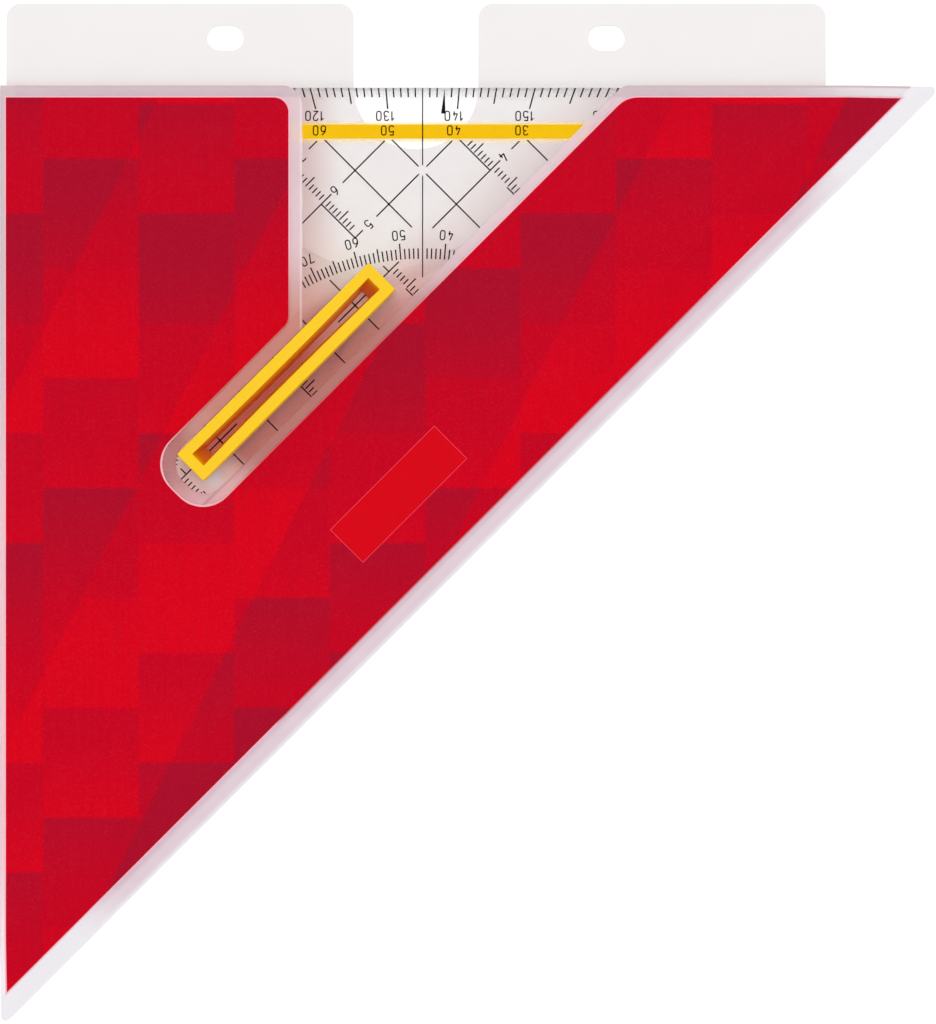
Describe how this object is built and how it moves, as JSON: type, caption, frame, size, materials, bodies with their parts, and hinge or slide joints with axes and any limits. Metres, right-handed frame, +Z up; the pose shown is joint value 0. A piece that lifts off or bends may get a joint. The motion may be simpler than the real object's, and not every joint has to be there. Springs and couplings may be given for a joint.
{
  "type": "drafting triangle",
  "caption": "Clear 45-degree set square with a pull-off yellow grip, in a red printed triangular film sleeve with filing tabs, a thumb notch and a window.",
  "frame": {"origin": "under the middle of the sleeve with its tabs, on the surface that it lies on", "axes": "+Z up out of the printed face, +X along the sleeve's open mouth, +Y from the sleeve towards its filing tabs"},
  "size_m": [0.196, 0.2134, 0.0113],
  "materials": {
    "frosted_film": "frosted translucent film",
    "pale_ink": "matt print",
    "red_ink": "matt print in tone on tone squares",
    "label_ink": "matt print",
    "clear_acrylic": "clear polished sheet",
    "yellow_ink": "print",
    "yellow_plastic": "satin moulding"
  },
  "bodies": {
    "sleeve": {"back_film": "frosted_film", "front_film": "frosted_film", "print_underlay": "pale_ink", "cover_print": "red_ink", "label_panel": "label_ink"},
    "set_square": {"set_square_plate": "clear_acrylic", "angle_band_upper": "yellow_ink", "angle_band_left": "yellow_ink"},
    "grip": {"grip_bar": "yellow_plastic"}
  },
  "joints": [
    {"name": "set_square_slide", "type": "slide", "parent": "sleeve", "child": "set_square", "axis": [0.7071, 0.7071, 0], "range_m": [0, 0.25]},
    {"name": "grip_pull", "type": "slide", "parent": "set_square", "child": "grip", "axis": [0, 0, 1], "range_m": [0, 0.012]}
  ]
}
